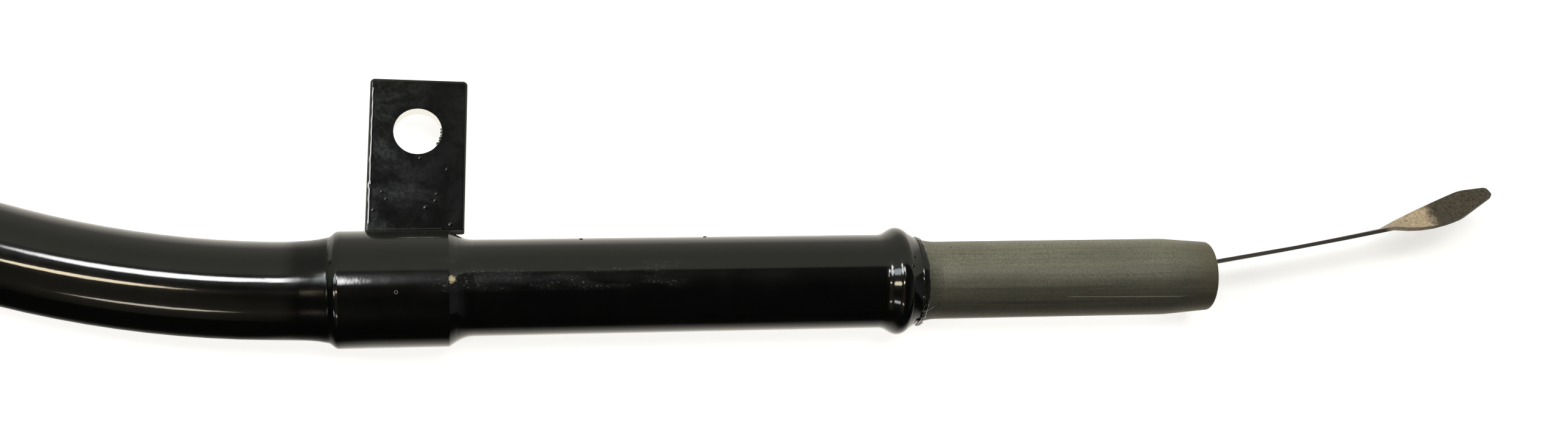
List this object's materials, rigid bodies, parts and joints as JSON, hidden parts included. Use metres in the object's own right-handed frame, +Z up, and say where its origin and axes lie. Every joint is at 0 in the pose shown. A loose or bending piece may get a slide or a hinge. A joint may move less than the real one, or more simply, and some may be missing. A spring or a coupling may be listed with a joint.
{
  "type": "oil dipstick tube",
  "caption": "Bent steel dipstick tube with a brazed socket joint, bracket tab, stop bead and bare nose, holding a capped flat dipstick with a twisted tip.",
  "frame": {"origin": "on the tube's axis, where the nose's parallel run begins just past the stop bead", "axes": "+X along the straight lower tube towards the nose, +Y towards the bracket tab, +Z up as the tube lies on its side"},
  "size_m": [0.4378, 0.0967, 0.023],
  "materials": {
    "black_paint": "gloss",
    "bare_steel": "satin",
    "black_rubber": "satin"
  },
  "bodies": {
    "root": {"lower_tube": "black_paint", "upper_tube": "black_paint", "bracket_tab": "black_paint", "seal_ring": "black_rubber", "dipstick_blade": "bare_steel", "dipstick_cap": "black_paint", "cap_seal": "black_rubber"}
  },
  "joints": []
}
